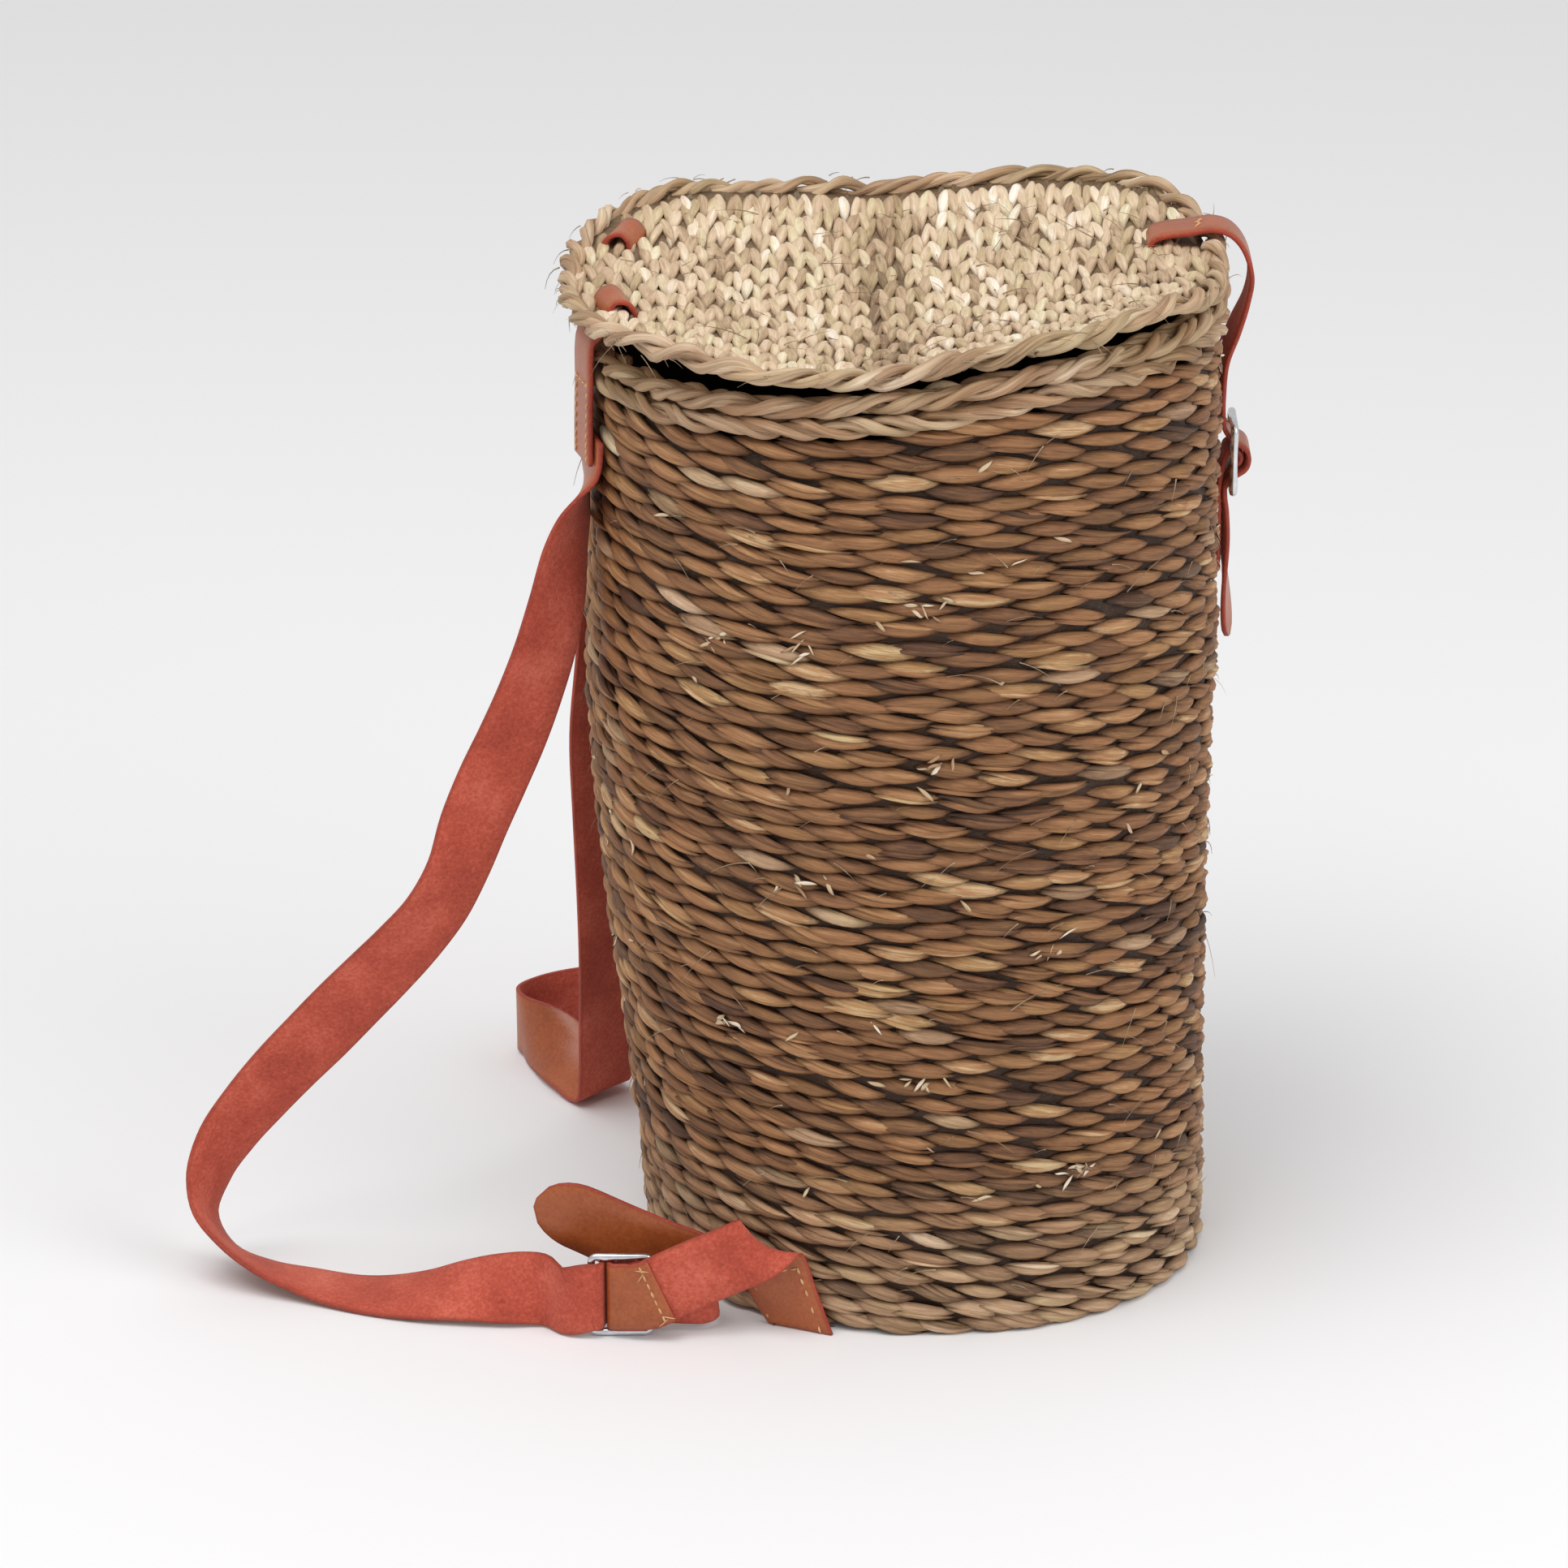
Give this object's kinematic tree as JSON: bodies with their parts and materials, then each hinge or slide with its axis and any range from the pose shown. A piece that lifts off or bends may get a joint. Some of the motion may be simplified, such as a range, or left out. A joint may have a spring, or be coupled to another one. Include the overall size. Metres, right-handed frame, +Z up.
{
  "type": "woven straw backpack",
  "caption": "Tall round woven straw basket backpack with a floppy lid, braided rim, leather shoulder straps with slide buckles, and a leather closing strap at the front.",
  "frame": {"origin": "centre of the basket's base, on the floor", "axes": "+Z up, +X towards the front with the closing strap, -X towards the wearer's back, +Y to the far side in the picture"},
  "size_m": [0.4416, 0.33, 0.4417],
  "materials": {
    "straw_wall": "twined brown straw",
    "straw_rim": "braided pale straw",
    "straw_lid": "twined pale straw",
    "straw_lid_edge": "twisted pale straw rope",
    "leather": "tan smooth side, brick red suede side",
    "buckle_metal": "polished"
  },
  "bodies": {
    "root": {"basket_body": "straw_wall", "rim_braid": "straw_rim", "lid_mat": "straw_lid", "lid_rope": "straw_lid_edge", "hinge_strap_near": "leather", "hinge_strap_far": "leather", "closing_strap": "leather", "closing_buckle": "buckle_metal", "buckle_loop": "leather", "shoulder_strap_near": "leather", "shoulder_strap_far": "leather", "strap_buckle_near": "buckle_metal", "strap_buckle_far": "buckle_metal", "lower_strap_near": "leather", "lower_strap_far": "leather"}
  },
  "joints": []
}
